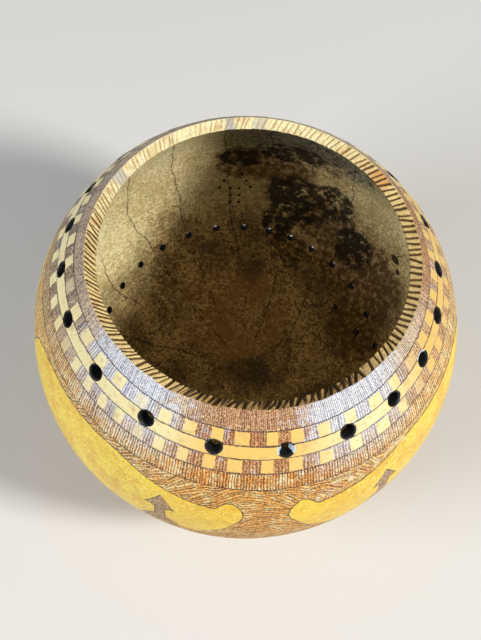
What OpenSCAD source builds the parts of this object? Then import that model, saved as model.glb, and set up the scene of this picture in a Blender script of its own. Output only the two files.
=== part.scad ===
// Carved gourd: a dried calabash sawn open as a deep bowl, with a notched rim and burnt rings of holes.
// Millimetres, +Z up. The origin is the middle of the flat spot that the gourd stands on.

/* [Gourd] */
// Diameter across the belly
body_d = 250; // [220:1:290]
// Thickness of the whole wall, skin and wood together
wall_t = 6.2; // [5:0.1:9]
// Thickness of the hard outer skin
skin_t = 2.4; // [1.8:0.1:3.2]
// How much of the round underside is worn flat
base_cut = 1.4; // [0.8:0.1:1.6]
// Thickness of the bottom under the scraped floor
floor_t = 6; // [4:0.1:10]

/* [Rim] */
// Height of the sawn edge above the base, at its outer corner
rim_h = 209; // [196:1:215]
// Slope of the sawn face down towards the inside, in degrees
rim_slope = 22; // [5:1:30]
// Height of the edge ring, from the outer corner of the sawn face down
rim_band = 7; // [6:0.5:12]

/* [Notches] */
// Mean distance from one notch to the next, along the outer corner
notch_pitch = 3.34; // [3:0.02:6]
// Depth of a notch where it leaves the inner corner
notch_depth = 2.6; // [1:0.1:3]
// Depth of a notch where it enters at the outer corner
notch_nick = 0.35; // [0.2:0.05:0.8]
// Width of a notch at the inner corner, as a share of the room it has
notch_share = 0.86; // [0.4:0.02:0.9]
// How much closer the notches lie on the left than on the right
notch_crowding = 0.17; // [0:0.01:0.25]
// Slant of the notches from straight inwards, in degrees
notch_slant = 22; // [0:1:25]
// Extra slant of the notches on the left, in degrees
left_slant = 16; // [0:1:18]
// How much steeper the notches stand on the right, in degrees
right_slant = 13; // [0:1:20]
// How much shallower the notches are at the back, as a share of their depth
back_fade = 0.75; // [0:0.05:0.8]

/* [Zones] */
// Height of the banded shoulder, along the skin from the rim down to the figures
band_reach = 52.7; // [50:0.5:60]
// How far the field of figures reaches below the belly line, along the skin
figure_drop = 44.5; // [40:0.5:50]
// Reach of the plain foot from the middle of the base, along the skin
foot_reach = 51; // [44:0.5:52]

/* [Upper holes] */
// Number of holes in the ring round the shoulder
upper_hole_n = 20; // [8:1:26]
// Diameter of each clear hole
upper_hole_d = 7.9; // [6:0.1:12]
// Distance of the hole centres below the rim, along the skin
upper_ring_drop = 22.4; // [18:0.2:40]
// How far hand spacing strays from even spacing, in degrees
upper_ring_stray = 4.6; // [0:0.1:6]
// How far the ring rises on its high side and sinks opposite, along the skin
upper_ring_tilt = 1.6; // [0:0.1:3]
// How far the ring rises twice and sinks twice on the way round, along the skin
upper_ring_wave = 2.2; // [0:0.1:3]

/* [Lower holes] */
// Number of holes in the lower ring
lower_hole_n = 34; // [12:1:40]
// Diameter of each clear hole
lower_hole_d = 4.2; // [3:0.1:7]
// Mean distance of the hole centres from the middle of the base, along the skin
lower_ring_reach = 106; // [95:1:125]
// How far the ring climbs at the back and sinks at the front, along the skin
lower_ring_lean = 30.5; // [0:0.5:35]
// How far the holes stray from even spacing where they bunch, in degrees
lower_ring_bunch = 6.5; // [0:0.5:8]

/* [Pinholes] */
// Diameter of each pinhole
pin_d = 1.9; // [1:0.1:3]
// Pinholes in each arm and each column of the arrowhead group
pin_n = 3; // [2:1:4]
// Step from one pinhole to the next, along the skin
pin_step = 6.4; // [5:0.1:9]
// Depth of the arrowhead's point below the belly line, along the skin
pin_drop = 7; // [2:0.5:20]

/* [Char] */
// Thickness of the burnt lining of each hole
char_t = 0.9; // [0.5:0.1:1.2]

/* [Hidden] */
$fn = 96;
ball_fn = 200;

skin_r = body_d / 2;
wood_r = skin_r - skin_t;
inside_r = skin_r - wall_t;
belly_z = skin_r - base_cut;
over = 2;

// The rim, seen from the middle of the ball
rim_lat = asin((rim_h - belly_z) / skin_r);
rim_r = skin_r * cos(rim_lat);
joint_z = rim_h - rim_band;
face_l = wall_t / sin(90 - rim_lat + rim_slope);

// Turns a distance along the skin into degrees
function skin_deg(l) = l / skin_r * 180 / PI;

// Heights where the zones of the wall meet
shoulder_z = belly_z + skin_r * sin(rim_lat - skin_deg(band_reach));
flank_z = belly_z - skin_r * sin(skin_deg(figure_drop));
foot_z = belly_z - skin_r * cos(skin_deg(foot_reach));

// Notches: the azimuth and the room of number i
notch_n = round(2 * PI * rim_r / notch_pitch);
crowd_at = 165;
function notch_even(i) = i * 360 / notch_n;
function notch_az(i) = notch_even(i) - notch_crowding * 180 / PI * sin(notch_even(i) - crowd_at);
function notch_room(i) =
  2 * PI * (rim_r - face_l) / notch_n * (1 - notch_crowding * cos(notch_even(i) - crowd_at));
full_turn = 360;
// The turn from azimuth c to azimuth az, between -180 and 180
function turn_from(c, az) = (az - c + 1.5 * full_turn) % full_turn - full_turn / 2;
// A smooth bump, 1 at azimuth c and 0 from half a width away
function bump(az, c, width) =
  abs(turn_from(c, az)) * 2 > width ? 0 : pow(cos(turn_from(c, az) * 180 / width), 2);
left_at = 188;
left_width = 90;
right_at = 352;
right_width = 70;
fade_at = 130;
fade_width = 70;
function slant_at(az) =
  notch_slant + left_slant * bump(az, left_at, left_width) - right_slant * bump(az, right_at, right_width);
// The share of the full depth that a notch has
function depth_share(az) = 1 - back_fade * bump(az, fade_at, fade_width);

// Upper ring: closer at the sides, wider at the front and back, and not quite level
upper_start = 173.3;
stray_at = 252;
tilt_at = 55;
wave_at = 30;
function upper_even(i) = upper_start + i * 360 / upper_hole_n;
function upper_az(i) = upper_even(i) + upper_ring_stray * sin(2 * (upper_even(i) - stray_at));
function upper_rise(az) =
  upper_ring_tilt * cos(az - tilt_at) + upper_ring_wave * cos(2 * (az - wave_at));
function upper_lat(i) = rim_lat + skin_deg(upper_rise(upper_az(i)) - upper_ring_drop);

// Lower ring: a tilted circle, highest at the back, with closer holes beside it on the right
lower_back = 98;
lower_start = 94.6;
bunch_at = 51;
bunch_width = 99;
function lower_even(i) = lower_start + i * 360 / lower_hole_n;
function lower_az(i) =
  lower_even(i) + lower_ring_bunch * bump(lower_even(i), bunch_at, bunch_width);
function lower_lat(i) = -90 + skin_deg(lower_ring_reach + lower_ring_lean * cos(lower_az(i) - lower_back));

// Pinhole group on the back wall. Starts are in steps below the point.
pin_az = 98.8;
column_gap = 6.4;
arm_spread = pin_step / 2;
arm_start = 0.7;
column_start = 2.9;

// Puts its children on the wall at an azimuth and latitude, with +Z pointing out
module on_wall(az, lat) {
  translate([0, 0, belly_z])
    rotate([0, 90 - lat, az])
      children();
}

// A drill through the whole wall
module drill(az, lat, d) {
  on_wall(az, lat)
    translate([0, 0, inside_r - 3 * over])
      cylinder(d = d, h = wall_t + 5 * over);
}

module upper_drills(d) {
  for (i = [0:upper_hole_n - 1])
    drill(upper_az(i), upper_lat(i), d);
}

module lower_drills(d) {
  for (i = [0:lower_hole_n - 1])
    drill(lower_az(i), lower_lat(i), d);
}

// Two arms that meet at the top, and two columns below them
module pin_drills() {
  for (side = [-1, 1], i = [0:pin_n - 1]) {
    arm_across = column_gap * arm_start + arm_spread * i;
    arm_down = pin_drop + pin_step * (arm_start + i);
    column_down = pin_drop + pin_step * (column_start + i);
    drill(pin_az + side * skin_deg(arm_across), -skin_deg(arm_down), pin_d);
    drill(pin_az + side * skin_deg(column_gap / 2), -skin_deg(column_down), pin_d);
  }
}

// A ball of radius r round the middle of the belly
module ball(r) {
  translate([0, 0, belly_z])
    sphere(r, $fn = ball_fn);
}

// Everything between two heights
module slice(low, high) {
  translate([-skin_r - over, -skin_r - over, low])
    cube([2 * (skin_r + over), 2 * (skin_r + over), high - low]);
}

// The hard skin between two heights. Its children are cut out of it.
module rind(low, high) {
  color("goldenrod")
    difference() {
      intersection() {
        ball(skin_r);
        slice(low, high);
      }
      ball(wood_r);
      children();
    }
}

// The pale wood under the skin, between two heights. Its children are cut out of it.
module wood(low, high) {
  color("tan")
    difference() {
      intersection() {
        ball(wood_r);
        slice(low, high);
      }
      intersection() {
        ball(inside_r);
        slice(floor_t, joint_z + over);
      }
      children();
    }
}

// The holes in the charred rings, as wide as their linings
module upper_bores() {
  upper_drills(upper_hole_d + 2 * char_t);
}

module low_bores() {
  lower_drills(lower_hole_d + 2 * char_t);
  pin_drills();
}

module rind_shoulder() {
  rind(shoulder_z, joint_z)
    upper_bores();
}

module rind_belly() {
  rind(flank_z, shoulder_z)
    low_bores();
}

module rind_flank() {
  rind(foot_z, flank_z)
    low_bores();
}

module rind_foot() {
  rind(0, foot_z);
}

module wall_shoulder() {
  wood(shoulder_z, joint_z)
    upper_bores();
}

module wall_belly() {
  wood(flank_z, shoulder_z)
    low_bores();
}

module wall_flank() {
  wood(foot_z, flank_z)
    low_bores();
}

module wall_floor() {
  wood(0, foot_z);
}

// The sawn edge before it is notched: the wall between the joint and the sloping cut
module sawn_edge() {
  rotate_extrude()
    intersection() {
      difference() {
        translate([0, belly_z])
          circle(skin_r);
        translate([0, belly_z])
          circle(inside_r);
      }
      polygon([
        [rim_r - 2 * wall_t, joint_z],
        [skin_r, joint_z],
        [skin_r, rim_h + (skin_r - rim_r) * tan(rim_slope)],
        [rim_r - 2 * wall_t, rim_h - 2 * wall_t * tan(rim_slope)]
      ]);
    }
}

// One knife cut: a V that deepens from the outer corner to the inner one
module notch(az, room) {
  slant = slant_at(az);
  depth = notch_depth * depth_share(az);
  nick = notch_nick * depth_share(az);
  wide = room * cos(slant) * notch_share;
  run = face_l / cos(slant);
  dive = atan((depth - nick) / run);
  high = 2 * notch_depth;
  half = wide / 2 / depth * high;
  rotate([0, 0, az])
    translate([rim_r, 0, rim_h])
      rotate([0, -rim_slope, 0])
        rotate([0, 0, -slant])
          translate([0, 0, -nick])
            rotate([0, -dive, 0])
              translate([over, 0, 0])
                rotate([90, 0, -90])
                  linear_extrude(run + 3 * over)
                    polygon([[0, 0], [half, high], [-half, high]]);
}

module notched_rim() {
  color("wheat")
    difference() {
      sawn_edge();
      for (i = [0:notch_n - 1])
        notch(notch_az(i), notch_room(i));
    }
}

// The layer of char in each hole ends flush with the skin and with the inside
module upper_hole_linings() {
  color("black")
    difference() {
      intersection() {
        ball(skin_r);
        upper_drills(upper_hole_d + 2 * char_t);
      }
      ball(inside_r);
      upper_drills(upper_hole_d);
    }
}

module lower_hole_linings() {
  color("black")
    difference() {
      intersection() {
        ball(skin_r);
        lower_drills(lower_hole_d + 2 * char_t);
      }
      ball(inside_r);
      lower_drills(lower_hole_d);
    }
}

rind_shoulder();
rind_belly();
rind_flank();
rind_foot();
wall_shoulder();
wall_belly();
wall_flank();
wall_floor();
notched_rim();
upper_hole_linings();
lower_hole_linings();
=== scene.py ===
"""The carved gourd's looks: engraved skin, notched rim, scraped inside and burnt holes."""

import math

import bpy
import numpy as np
from mathutils import Matrix, Vector


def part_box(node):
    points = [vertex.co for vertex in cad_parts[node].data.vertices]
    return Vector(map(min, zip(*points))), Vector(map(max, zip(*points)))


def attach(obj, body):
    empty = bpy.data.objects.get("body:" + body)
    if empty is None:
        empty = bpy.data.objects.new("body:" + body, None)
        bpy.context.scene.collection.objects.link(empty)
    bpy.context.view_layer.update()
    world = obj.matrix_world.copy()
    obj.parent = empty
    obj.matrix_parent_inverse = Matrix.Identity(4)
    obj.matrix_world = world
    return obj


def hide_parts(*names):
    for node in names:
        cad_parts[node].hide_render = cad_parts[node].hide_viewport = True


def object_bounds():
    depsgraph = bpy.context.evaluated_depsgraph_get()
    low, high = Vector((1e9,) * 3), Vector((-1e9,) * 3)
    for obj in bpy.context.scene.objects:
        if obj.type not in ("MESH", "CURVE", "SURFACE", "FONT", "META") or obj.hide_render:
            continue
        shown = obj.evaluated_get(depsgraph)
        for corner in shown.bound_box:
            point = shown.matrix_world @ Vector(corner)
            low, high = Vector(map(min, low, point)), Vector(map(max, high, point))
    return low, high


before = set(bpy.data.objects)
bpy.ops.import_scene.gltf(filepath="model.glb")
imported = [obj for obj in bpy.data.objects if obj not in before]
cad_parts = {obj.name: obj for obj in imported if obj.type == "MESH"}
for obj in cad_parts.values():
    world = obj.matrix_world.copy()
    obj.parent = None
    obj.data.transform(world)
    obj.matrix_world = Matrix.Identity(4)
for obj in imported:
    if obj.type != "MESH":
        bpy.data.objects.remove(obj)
cad_low, cad_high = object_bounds()

# Sizes in metres. The ball's radius and the rim's height come from the frame, the rest are the part's own.
MM = 0.001
BALL_R = (cad_high.x - cad_low.x) / 2
BASE_CUT = 1.4 * MM
WALL = 6.2 * MM
INSIDE_R = BALL_R - WALL
BELLY_Z = BALL_R - BASE_CUT
FLOOR_Z = 6 * MM
RIM_Z = cad_high.z
RIM_R = math.sqrt(BALL_R ** 2 - (RIM_Z - BELLY_Z) ** 2)
RIM_SLOPE = math.radians(22)
DEG = math.pi / 180

# Heights where the zones of the wall meet
JOINT_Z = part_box("rind_shoulder")[1].z
SHOULDER_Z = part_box("rind_shoulder")[0].z
FLANK_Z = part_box("rind_flank")[1].z
FOOT_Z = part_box("rind_foot")[1].z

# Upper ring of burnt holes. Azimuths here and below are in degrees.
UPPER_HOLES = 20
UPPER_HOLE_R = 3.95 * MM
UPPER_START = 173.3
UPPER_DROP = 22.4 * MM
UPPER_STRAY, STRAY_AT = 4.6, 252
UPPER_TILT, TILT_AT = 1.6 * MM, 55
UPPER_WAVE, WAVE_AT = 2.2 * MM, 30

# Lower ring, which leans up to the back and is bunched at one side
LOWER_HOLES = 34
LOWER_HOLE_R = 2.1 * MM
LOWER_START = 94.6
LOWER_REACH = 106 * MM
LOWER_LEAN, LEAN_AT = 30.5 * MM, 98
LOWER_BUNCH, BUNCH_AT, BUNCH_WIDTH = 6.5, 51, 99

# Char round the holes: its thickness, how many rows of a tube's faces are burnt before its inner end turns to
# scraped wall, and how much it narrows each ring's radius inwards. The solids' bores are straight, so the
# narrowing belongs to the looks alone.
CHAR = 0.9 * MM
THROAT_ROWS = 10
UPPER_NARROWS = 1.9 * MM
LOWER_NARROWS = 0.3 * MM

# Pinholes: two arms that meet at the top, and two columns below them
PIN_R = 1.1 * MM
PIN_AZ = 98.8
PIN_STEP = 6.4 * MM
PIN_DROP = 7 * MM
PIN_ARM_START, PIN_COLUMN_START = 0.7, 2.9
PIN_COLUMN_HALF = 3.2 * MM

# Notches of the rim
NOTCHES = 172
NOTCH_DEPTH = 2.6 * MM
NOTCH_CROWDING, CROWDED_AT = 0.17, 165
NOTCH_SLANT = 22
SLANTS_MORE, MORE_AT = 16, 188
SLANTS_LESS, LESS_AT = 13, 352

# Relief of the engraving: how far the hatched ground and the lines lie below the uncut skin
GROUND_DEPTH = 0.22 * MM
LINE_DEPTH = 0.16 * MM

# Points round the ball in the meshes
AZ_COUNT = 900


class Flow:
    """A number that a material's nodes work out at each point of a surface."""

    def __init__(self, tree, socket):
        self.tree = tree
        self.socket = socket

    def __add__(self, other):
        return work("ADD", self, other)

    def __radd__(self, other):
        return work("ADD", other, self)

    def __sub__(self, other):
        return work("SUBTRACT", self, other)

    def __rsub__(self, other):
        return work("SUBTRACT", other, self)

    def __mul__(self, other):
        return work("MULTIPLY", self, other)

    def __rmul__(self, other):
        return work("MULTIPLY", other, self)

    def __truediv__(self, other):
        return work("DIVIDE", self, other)

    def __neg__(self):
        return work("MULTIPLY", self, -1.0)


ON_ARRAYS = {
    "ADD": np.add, "SUBTRACT": np.subtract, "MULTIPLY": np.multiply, "DIVIDE": np.divide,
    "SINE": np.sin, "COSINE": np.cos, "ABSOLUTE": np.abs, "SQRT": np.sqrt,
    "MINIMUM": np.minimum, "MAXIMUM": np.maximum, "FLOOR": np.floor,
    "FRACT": lambda v: v - np.floor(v),
}


def plug(value, socket):
    """Feeds a number, or what a Flow works out, into a node's input."""
    if isinstance(value, Flow):
        value.tree.links.new(value.socket, socket)
    else:
        socket.default_value = value


def tree_of(*values):
    """The node tree that these values belong to, or None if they are plain numbers or arrays."""
    return next((v.tree for v in values if isinstance(v, Flow)), None)


def work(kind, *values):
    """One step of arithmetic, on arrays or in a material's nodes."""
    tree = tree_of(*values)
    if tree is None:
        return ON_ARRAYS[kind](*values)
    node = tree.nodes.new("ShaderNodeMath")
    node.operation = kind
    for value, socket in zip(values, node.inputs):
        plug(value, socket)
    return Flow(tree, node.outputs[0])


def sin(degrees):
    return work("SINE", degrees * DEG)


def cos(degrees):
    return work("COSINE", degrees * DEG)


def fract(value):
    return work("FRACT", value)


def size_of(value):
    return work("ABSOLUTE", value)


def most(a, b):
    return work("MAXIMUM", a, b)


def least(a, b):
    return work("MINIMUM", a, b)


def ramp(value, low, high):
    """0 up to low, 1 from high on, and smooth between them. A low above high turns it round."""
    if low > high:
        return 1 - ramp(value, high, low)
    tree = tree_of(value)
    if tree is None:
        t = np.clip((value - low) / (high - low), 0, 1)
        return t * t * (3 - 2 * t)
    node = tree.nodes.new("ShaderNodeMapRange")
    node.interpolation_type = "SMOOTHSTEP"
    for part, name in ((value, "Value"), (low, "From Min"), (high, "From Max")):
        plug(part, node.inputs[name])
    return Flow(tree, node.outputs["Result"])


def line_through(points, value):
    """The height, at a place along it, of a line through given points. The nodes have it as a curve."""
    xs = [p[0] for p in points]
    ys = [p[1] for p in points]
    tree = tree_of(value)
    if tree is None:
        return np.interp(value, xs, ys)
    x0, x1, y0, y1 = xs[0], xs[-1], min(ys), max(ys)
    node = tree.nodes.new("ShaderNodeFloatCurve")
    curve = node.mapping.curves[0]
    for i, (x, y) in enumerate(points):
        place = ((x - x0) / (x1 - x0), (y - y0) / (y1 - y0))
        if i < 2:
            curve.points[i].location = place
        else:
            curve.points.new(*place)
    for point in curve.points:
        point.handle_type = "VECTOR"
    node.mapping.update()
    plug((value - x0) / (x1 - x0), node.inputs["Value"])
    return Flow(tree, node.outputs["Value"]) * (y1 - y0) + y0


def rounded(points, steps=3):
    """More points between given ones, on a smooth curve through them."""
    p = np.array([points[0]] + list(points) + [points[-1]], float)
    out = []
    for a, b, c, d in zip(p, p[1:], p[2:], p[3:]):
        for t in np.arange(steps) / steps:
            out.append(0.5 * (2 * b + (c - a) * t + (2 * a - 5 * b + 4 * c - d) * t ** 2
                              + (3 * b - a - 3 * c + d) * t ** 3))
    out.append(p[-1])
    xs = np.maximum.accumulate([q[0] + 1e-4 * i for i, q in enumerate(out)])
    return [(float(x), float(q[1])) for x, q in zip(xs, out)]


# The ornament, in degrees of azimuth (0 at +X, 270 in front) and of latitude above the belly line.
# The same formulas cut the relief into the meshes and colour the materials.
LINE_TOP, STRIPE_TOP, STRIPE_FOOT, CHECK_FOOT, HATCH_FOOT = 38.5, 34.3, 30.5, 25.8, 20.2
FIELD_FOOT = -20.4
MIRROR_AZ = 100.6
INSET_AZ = (73.3, 134.5)
LINE_HALF = 0.12
EDGE = 0.09

FIGURE_TOP = rounded([
    (5.4, 3), (5.8, 7), (6.5, 9.8), (7.8, 11.8), (9.4, 12.7), (11, 12.2), (12.2, 10.8), (13.2, 9.7), (15, 9.6),
    (20, 10.6), (25, 11.8), (31, 13.7), (36, 15.6), (40, 16.9), (44, 17.6), (51, 17.9), (59, 18.2),
    (69, 18.2), (76, 17.2), (81, 14.8), (84, 11.5), (86, 7), (87.2, 2), (87.6, -2), (90, -20)])
FIGURE_FOOT = rounded([
    (5.4, 8), (5.8, 6.2), (6.6, 4), (8, 1.6), (9.6, -1.2), (12, -4.2), (16, -7.4), (22, -9.8), (30, -11.6),
    (40, -12.8), (52, -13.4), (64, -13.2), (73, -11.6), (80, -8.6), (84.5, -5.6), (87.6, -2), (90, 10)])
INSET_HALF = [(-20, 6.5), (-10, 5.6), (-6.4, 3.6), (-4, 1.5), (1.7, 1.3), (1.9, 4.1), (9, -0.1), (30, -12)]


def drift(az):
    """How far the hand-drawn bands rise and sink on their way round."""
    return 0.73 * cos(az - 55) + 1.03 * cos(2 * az - 60) + 0.19 * cos(3 * az + 96)


def near(az, middle, turn=360):
    """The distance from an azimuth, or from any of its copies every turn degrees."""
    return size_of(fract((az - middle) / turn + 0.5) - 0.5) * turn


def around(az, middle, far, close):
    """1 up to close degrees from an azimuth, 0 from far degrees on."""
    return ramp(near(az, middle), far, close)


def bump_at(az, middle, width):
    """1 at an azimuth, falling smoothly to 0 half a width away."""
    return around(az, middle, width / 2, 0)


def chance(number):
    """A value between -0.5 and 0.5 that looks thrown, but is the same for the same whole number."""
    return fract(work("SINE", number * 91.7) * 17.3) - 0.5


def box_mask(value, low, high, edge=EDGE):
    """1 between low and high, with soft edges."""
    return ramp(value, low - edge, low + edge) * ramp(value, high + edge, high - edge)


def squares(place, level, low, high, share):
    """Hand-cut squares: place counts them, and is whole in the middle of each. Some were hatched over."""
    number = work("FLOOR", place + 0.5)
    off = size_of(place - number + 0.1 * chance(number + 5.0))
    half = share / 2 + 0.07 * chance(number)
    across = ramp(off - half, 0.011, -0.011)
    lift = 0.35 * chance(number + 11.0)
    kept = 1 - 0.5 * ramp(chance(number + 23.0), 0.42, 0.46)
    return across * box_mask(level + lift, low + 0.3, high - 0.35) * kept


def slope_of(points, value, step=0.25):
    """How much a line through points rises per degree."""
    return (line_through(points, value + step) - line_through(points, value - step)) / (2 * step)


def reach(points, value):
    """How steeply a line runs there, as the factor from upright distance to the nearest distance."""
    slope = slope_of(points, value)
    return work("SQRT", 1 + slope * slope)


def line_at(off):
    """1 on an engraved line whose middle is off degrees away."""
    return ramp(size_of(off), LINE_HALF + EDGE, LINE_HALF - 0.05)


def ornament(az, lat):
    """Masks from 0 to 1 of what stays uncut, and of the engraved lines."""
    level = lat - drift(az)
    upper = 44 / 360 * az + 0.74 + 0.13 * cos(az - 149) + 0.18 * cos(2 * az - 48) + 0.22 * cos(3 * az - 162)
    lower = 47 / 360 * az + 0.95 + 0.33 * cos(az + 36) + 0.19 * cos(2 * az - 138) + 0.26 * cos(3 * az - 84)
    pale = box_mask(level, STRIPE_FOOT, STRIPE_TOP)
    pale = most(pale, squares(upper, level, STRIPE_TOP, LINE_TOP, 0.49))
    pale = most(pale, squares(lower, level, CHECK_FOOT, STRIPE_FOOT, 0.46))

    turned = near(az, MIRROR_AZ, 180)
    inside_top = (line_through(FIGURE_TOP, turned) - lat) / reach(FIGURE_TOP, turned)
    inside_foot = (lat - line_through(FIGURE_FOOT, turned)) / reach(FIGURE_FOOT, turned)
    inside = least(inside_top, inside_foot)
    off = least(near(az, INSET_AZ[0], 180), near(az, INSET_AZ[1], 180))
    half = line_through(INSET_HALF, lat)
    inset = (half - off) / reach(INSET_HALF, lat)
    figure = ramp(inside, -EDGE, EDGE) * ramp(inset, EDGE, -EDGE)

    lines = line_at(inside)
    cut_in = ramp(inside, -EDGE, EDGE)
    lines = most(lines, cut_in * line_at(inset))
    for border in (LINE_TOP, STRIPE_TOP, STRIPE_FOOT, CHECK_FOOT, HATCH_FOOT):
        lines = most(lines, line_at(level - border))
    lines = most(lines, line_at(lat - FIELD_FOOT))
    lines = most(lines, ramp(size_of(lat - FIELD_FOOT - 1.2), LINE_HALF, LINE_HALF - 0.08))
    below = ramp(lat, FIELD_FOOT + 0.1, FIELD_FOOT - 0.1)
    return {"level": level, "pale": pale, "figure": figure, "lines": lines, "below": below,
            "above": -inside_top, "inset": cut_in * ramp(inset, -EDGE, EDGE)}


def relief(az, lat):
    """How deep the skin is cut away, in metres: the hatched ground lies lower than what stays uncut."""
    found = ornament(az, lat)
    uncut = most(most(found["pale"], found["figure"]), found["below"])
    return GROUND_DEPTH * (1 - uncut) + LINE_DEPTH * found["lines"]


def lumps(az, lat, size, seed):
    """Soft unevenness from 0 to 1, in patches of about that many degrees."""
    thrown = np.random.default_rng(seed)
    total = np.zeros(np.broadcast(az, lat).shape)
    for _ in range(7):
        turns = round(float(thrown.normal(0, 200 / size)))
        total = total + np.sin(turns * az * DEG + thrown.normal(0, 3 / size) * lat + thrown.uniform(0, 6.3))
    return 0.5 + 0.5 * np.tanh(total / 3)


# Holes
def hole_places():
    """Azimuth, latitude and radius of the holes of both charred rings, and of the pinholes."""
    upper, lower, pins = [], [], []
    rim_lat = math.degrees(math.asin((RIM_Z - BELLY_Z) / BALL_R))
    per_metre = 1 / BALL_R / DEG
    for i in range(UPPER_HOLES):
        even = UPPER_START + i * 360 / UPPER_HOLES
        az = even + UPPER_STRAY * math.sin(2 * (even - STRAY_AT) * DEG)
        rise = UPPER_TILT * math.cos((az - TILT_AT) * DEG) + UPPER_WAVE * math.cos(2 * (az - WAVE_AT) * DEG)
        upper.append((az, rim_lat + (rise - UPPER_DROP) * per_metre, UPPER_HOLE_R))
    for i in range(LOWER_HOLES):
        even = LOWER_START + i * 360 / LOWER_HOLES
        turn = (even - BUNCH_AT + 540) % 360 - 180
        bunched = abs(turn) < BUNCH_WIDTH / 2
        az = even + (LOWER_BUNCH * math.cos(turn * 180 / BUNCH_WIDTH * DEG) ** 2 if bunched else 0)
        along = LOWER_REACH + LOWER_LEAN * math.cos((az - LEAN_AT) * DEG)
        lower.append((az, -90 + along * per_metre, LOWER_HOLE_R))
    for side in (-1, 1):
        for i in range(3):
            across = PIN_STEP * (PIN_ARM_START + 0.5 * i)
            drop = PIN_DROP + PIN_STEP * (PIN_ARM_START + i)
            pins.append((PIN_AZ + side * across * per_metre, -drop * per_metre, PIN_R))
            drop = PIN_DROP + PIN_STEP * (PIN_COLUMN_START + i)
            pins.append((PIN_AZ + side * PIN_COLUMN_HALF * per_metre, -drop * per_metre, PIN_R))
    return upper, lower, pins


upper_holes, lower_holes, pinholes = hole_places()


def direction(az, lat):
    """The unit vector, or vectors, from the ball's middle towards an azimuth and latitude."""
    az, lat = np.broadcast_arrays(np.asarray(az) * DEG, np.asarray(lat) * DEG)
    return np.stack([np.cos(lat) * np.cos(az), np.cos(lat) * np.sin(az), np.sin(lat)], -1)


def on_ball(az, lat, radius):
    """Points at a distance from the ball's middle."""
    return direction(az, lat) * np.asarray(radius)[..., None] + [0, 0, BELLY_Z]


def lat_at(z, radius):
    """The latitude at which a ball of that radius reaches a height."""
    return math.degrees(math.asin((z - BELLY_Z) / radius))


# Meshes
def add_piece(name, points, faces, materials, node=None, slot=None, face_slots=None):
    """Makes a mesh object that rides on the body and stands for a CAD node."""
    mesh = bpy.data.meshes.new(name)
    mesh.from_pydata(np.asarray(points).tolist(), [], [list(map(int, f)) for f in faces])
    for material in materials:
        mesh.materials.append(material)
    if face_slots is not None:
        mesh.polygons.foreach_set("material_index", np.asarray(face_slots, dtype=np.int32))
    mesh.polygons.foreach_set("use_smooth", [True] * len(mesh.polygons))
    mesh.update()
    piece = bpy.data.objects.new(name, mesh)
    bpy.context.scene.collection.objects.link(piece)
    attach(piece, "root")
    if node:
        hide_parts(node)
    return piece


def grid_faces(rows, count, flip=False):
    """Quads of a grid whose rows close on themselves."""
    r, c = np.meshgrid(np.arange(rows - 1), np.arange(count), indexing="ij")
    here, right = r * count + c, r * count + (c + 1) % count
    quads = np.stack([here, right, right + count, here + count], -1).reshape(-1, 4)
    return quads[:, ::-1] if flip else quads


def open_holes(points, faces, holes, edge_out):
    """Cuts round holes: the points near each circle move onto it, and the faces inside it go."""
    middle = np.array([0, 0, BELLY_Z])
    nearby, touching, snaps = 6 * MM, 2 * MM, 0.505
    for az, lat, radius in holes:
        radius = radius + edge_out if radius > PIN_R else radius
        axis = direction(az, lat)
        rel = points - middle
        along = rel @ axis
        across = rel - along[:, None] * axis
        dist = np.linalg.norm(across, axis=1)
        dist[along < 0] = 1
        close = np.where(dist < radius + nearby)[0]
        mine = faces[np.isin(faces, close).all(1)]
        if not len(mine):
            continue
        quads = points[mine[dist[mine].min(1) < radius + touching]]
        if not len(quads):
            continue
        diagonal = np.linalg.norm(quads[:, 0] - quads[:, 2], axis=1).max()
        snap = close[np.abs(dist[close] - radius) < diagonal * snaps]
        scale = (radius / np.maximum(dist[snap], 1e-6))[:, None]
        out = np.linalg.norm(rel[snap], axis=1)
        moved = across[snap] * scale
        lengthwise = np.sqrt(np.maximum(out ** 2 - radius ** 2, 0))
        points[snap] = middle + moved + lengthwise[:, None] * axis
        dist[snap] = radius
        faces = faces[~(dist[faces] <= radius * 1.0001).all(1)]
    return points, faces


def drop_unused(points, faces):
    """Leaves out the points that no face uses any more."""
    used = np.unique(faces)
    new = np.full(len(points), -1)
    new[used] = np.arange(len(used))
    return points[used], new[faces]


def shell(name, lats, depth_at, radius, holes, material, node, slot, inward=False, cap_z=None):
    """A zone of the ball between two latitudes, cut by holes. With cap_z it ends in a flat disc there."""
    az = np.arange(AZ_COUNT) * 360 / AZ_COUNT
    a, l = np.meshgrid(az, lats)
    points = on_ball(a, l, radius - depth_at(a, l)).reshape(-1, 3)
    faces = grid_faces(len(lats), AZ_COUNT, flip=inward)
    if holes:
        points, faces = open_holes(points, faces, holes, 0.9 * CHAR)
        points, faces = drop_unused(points, faces)
    faces = faces.tolist()
    if cap_z is not None:
        points[:, 2] = np.maximum(points[:, 2], cap_z)
        rim_ring = points[:AZ_COUNT]
        start = len(points)
        rings = [0.8, 0.6, 0.4, 0.2]
        points = np.concatenate([points] + [rim_ring * [k, k, 1] for k in rings] + [[[0, 0, cap_z]]])
        last = np.arange(AZ_COUNT)
        for i in range(len(rings)):
            ring = start + i * AZ_COUNT + np.arange(AZ_COUNT)
            quads = np.stack([last, ring, np.roll(ring, -1), np.roll(last, -1)], -1)
            faces += (quads[:, ::-1] if inward else quads).tolist()
            last = ring
        fan = np.stack([last, np.full(AZ_COUNT, len(points) - 1), np.roll(last, -1)], -1)
        faces += (fan[:, ::-1] if inward else fan).tolist()
    return add_piece(name, points, faces, [material], node, slot)


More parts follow.
